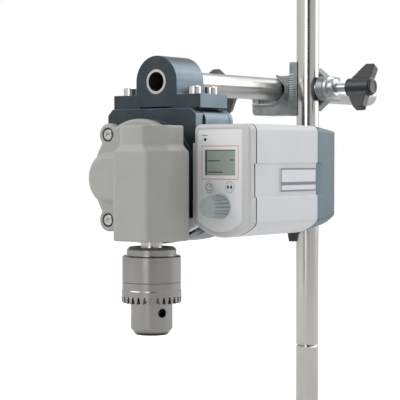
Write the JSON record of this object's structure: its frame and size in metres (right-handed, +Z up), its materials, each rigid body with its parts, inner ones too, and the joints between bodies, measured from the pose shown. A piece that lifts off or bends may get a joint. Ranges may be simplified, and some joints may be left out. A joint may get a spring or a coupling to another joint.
{
  "type": "overhead stirrer",
  "caption": "Overhead laboratory stirrer: geared motor head with keyed chuck and control box, on a support arm clamped to an upright stand rod.",
  "frame": {"origin": "centre of the stand rod's foot", "axes": "+Z up along the stand rod, +Y from the motor head back along the support arm, +X to the control box's side"},
  "size_m": [0.1435, 0.324, 0.3],
  "materials": {
    "stainless_steel": "polished stainless steel",
    "end_plug": "moulded plug, light grey",
    "zinc_casting": "rough zinc grey casting",
    "zinc_plated_steel": "zinc plated",
    "black_plastic": "fine moulded texture",
    "cap_plastic": "satin",
    "anodised_housing": "dark blue-grey anodised",
    "black_steel": "black oxide",
    "bearing_steel": "ground",
    "painted_casting": "warm light grey paint, satin",
    "black_rubber": "matt",
    "bronze_wheel": "cut bronze",
    "chuck_steel": "turned steel",
    "light_plastic": "cool off-white",
    "blue_grey_plastic": "blue-grey",
    "panel_film": "printed film",
    "display_glass": "grey-green display",
    "display_module": "satin",
    "circuit_board": "green laminate",
    "led_lens": "small dark lens",
    "dial_plastic": "mid grey",
    "metal_fittings": "plain",
    "plate_white": "blank plate"
  },
  "bodies": {
    "stand": {"rod_lower": "stainless_steel"},
    "upper_rod": {"rod_upper": "stainless_steel"},
    "clamp": {"clamp_body": "zinc_casting", "rod_bush": "zinc_plated_steel", "arm_bush": "zinc_plated_steel"},
    "rod_pad": {"rod_pad": "zinc_plated_steel"},
    "rod_screw": {"rod_clamp_screw": "zinc_plated_steel", "rod_wing_knob": "black_plastic", "rod_knob_cap": "cap_plastic"},
    "arm_pad": {"arm_pad": "zinc_plated_steel"},
    "arm_screw": {"arm_clamp_screw": "zinc_plated_steel", "arm_wing_knob": "black_plastic", "arm_knob_cap": "cap_plastic"},
    "arm": {"support_arm": "stainless_steel", "arm_end_plug": "end_plug"},
    "head": {"arm_holder": "anodised_housing", "holder_screws": "stainless_steel", "arm_set_screw": "black_steel", "housing_plate": "anodised_housing", "motor_housing": "anodised_housing", "housing_cover": "anodised_housing", "cover_screws": "stainless_steel", "motor_stator": "black_steel", "motor_bearings": "bearing_steel", "worm_bearing": "bearing_steel", "gear_case": "painted_casting", "case_screws": "stainless_steel", "screw_seals": "black_rubber", "spindle_bearings": "bearing_steel", "bearing_cap": "painted_casting", "spindle_seal": "black_rubber", "control_bracket": "light_plastic", "box_bezel": "light_plastic", "box_cover": "light_plastic", "box_rear_cover": "blue_grey_plastic", "panel_overlay": "panel_film", "lcd_window": "display_glass", "lcd_module": "display_module", "control_board": "circuit_board", "status_led": "led_lens", "dial_encoder": "metal_fittings", "name_plate": "plate_white", "switch_frame": "black_plastic", "cable_gland": "black_plastic"},
    "rotor": {"rotor_shaft": "stainless_steel", "rotor_magnet": "black_steel"},
    "spindle": {"spindle_shaft": "stainless_steel", "worm_wheel": "bronze_wheel", "chuck_body": "chuck_steel"},
    "sleeve": {"chuck_sleeve": "chuck_steel", "chuck_nut": "chuck_steel"},
    "jaw_1": {"chuck_jaw_1": "chuck_steel"},
    "jaw_2": {"chuck_jaw_2": "chuck_steel"},
    "jaw_3": {"chuck_jaw_3": "chuck_steel"},
    "dial": {"speed_dial": "dial_plastic", "dial_spindle": "metal_fittings"},
    "left_key": {"key_left": "light_plastic"},
    "right_key": {"key_right": "light_plastic"},
    "rocker": {"power_rocker": "black_plastic"}
  },
  "joints": [
    {"name": "rod_turn", "type": "hinge", "parent": "stand", "child": "upper_rod", "pos_m": [0, 0, 0.0464], "axis": [0, 0, 1], "continuous": true},
    {"name": "clamp_height", "type": "slide", "parent": "upper_rod", "child": "clamp", "axis": [0, 0, 1], "range_m": [-0.06, 0.045]},
    {"name": "rod_pad_feed", "type": "slide", "parent": "clamp", "child": "rod_pad", "axis": [1, 0, 0], "range_m": [0, 0.0015]},
    {"name": "rod_screw_turn", "type": "hinge", "parent": "rod_pad", "child": "rod_screw", "pos_m": [0.04, 0, 0.23], "axis": [1, 0, 0], "range_deg": [-18, 558]},
    {"name": "arm_pad_feed", "type": "slide", "parent": "clamp", "child": "arm_pad", "axis": [-1, 0, 0], "range_m": [0, 0.0015]},
    {"name": "arm_screw_turn", "type": "hinge", "parent": "arm_pad", "child": "arm_screw", "pos_m": [-0.064, 0, 0.23], "axis": [-1, 0, 0], "range_deg": [-18, 558]},
    {"name": "arm_slide", "type": "slide", "parent": "clamp", "child": "arm", "axis": [0, -1, 0], "range_m": [-0.03, 0.1]},
    {"name": "head_tilt", "type": "hinge", "parent": "arm", "child": "head", "pos_m": [-0.024, -0.142, 0.23], "axis": [0, 1, 0], "range_deg": [-90, 90]},
    {"name": "spindle_turn", "type": "hinge", "parent": "head", "child": "spindle", "pos_m": [0.001, -0.177, 0.168], "axis": [0, 0, 1], "continuous": true},
    {"name": "motor_turn", "type": "hinge", "parent": "head", "child": "rotor", "pos_m": [-0.024, -0.13, 0.168], "axis": [0, 1, 0], "continuous": true},
    {"name": "sleeve_turn", "type": "hinge", "parent": "spindle", "child": "sleeve", "pos_m": [0.001, -0.177, 0.1], "axis": [0, 0, 1], "range_deg": [0, 3240]},
    {"name": "jaw_1_slide", "type": "slide", "parent": "spindle", "child": "jaw_1", "axis": [-0.0403, 0.2385, -0.9703], "range_m": [-0.0001, 0.0181]},
    {"name": "jaw_2_slide", "type": "slide", "parent": "spindle", "child": "jaw_2", "axis": [-0.1864, -0.1542, -0.9703], "range_m": [-0.0001, 0.0181]},
    {"name": "jaw_3_slide", "type": "slide", "parent": "spindle", "child": "jaw_3", "axis": [0.2267, -0.0843, -0.9703], "range_m": [-0.0001, 0.0181]},
    {"name": "dial_turn", "type": "hinge", "parent": "head", "child": "dial", "pos_m": [0.0375, -0.162, 0.1507], "axis": [0, -1, 0], "continuous": true},
    {"name": "left_key_press", "type": "slide", "parent": "head", "child": "left_key", "axis": [0, 1, 0], "range_m": [0, 0.0004], "stiffness_N_per_m": 1500},
    {"name": "right_key_press", "type": "slide", "parent": "head", "child": "right_key", "axis": [0, 1, 0], "range_m": [0, 0.0004], "stiffness_N_per_m": 1500},
    {"name": "rocker_tilt", "type": "hinge", "parent": "head", "child": "rocker", "pos_m": [0.039, -0.054, 0.18], "axis": [1, 0, 0], "range_deg": [0, 16]}
  ],
  "couplings": [
    {"joint": "rod_screw_turn", "follows": "rod_pad_feed", "rad_per_m": 6283.2},
    {"joint": "arm_screw_turn", "follows": "arm_pad_feed", "rad_per_m": 6283.2},
    {"joint": "motor_turn", "follows": "spindle_turn", "ratio": 5},
    {"joint": "jaw_1_slide", "follows": "sleeve_turn", "m_per_rad": 0.00031831},
    {"joint": "jaw_2_slide", "follows": "sleeve_turn", "m_per_rad": 0.00031831},
    {"joint": "jaw_3_slide", "follows": "sleeve_turn", "m_per_rad": 0.00031831}
  ]
}
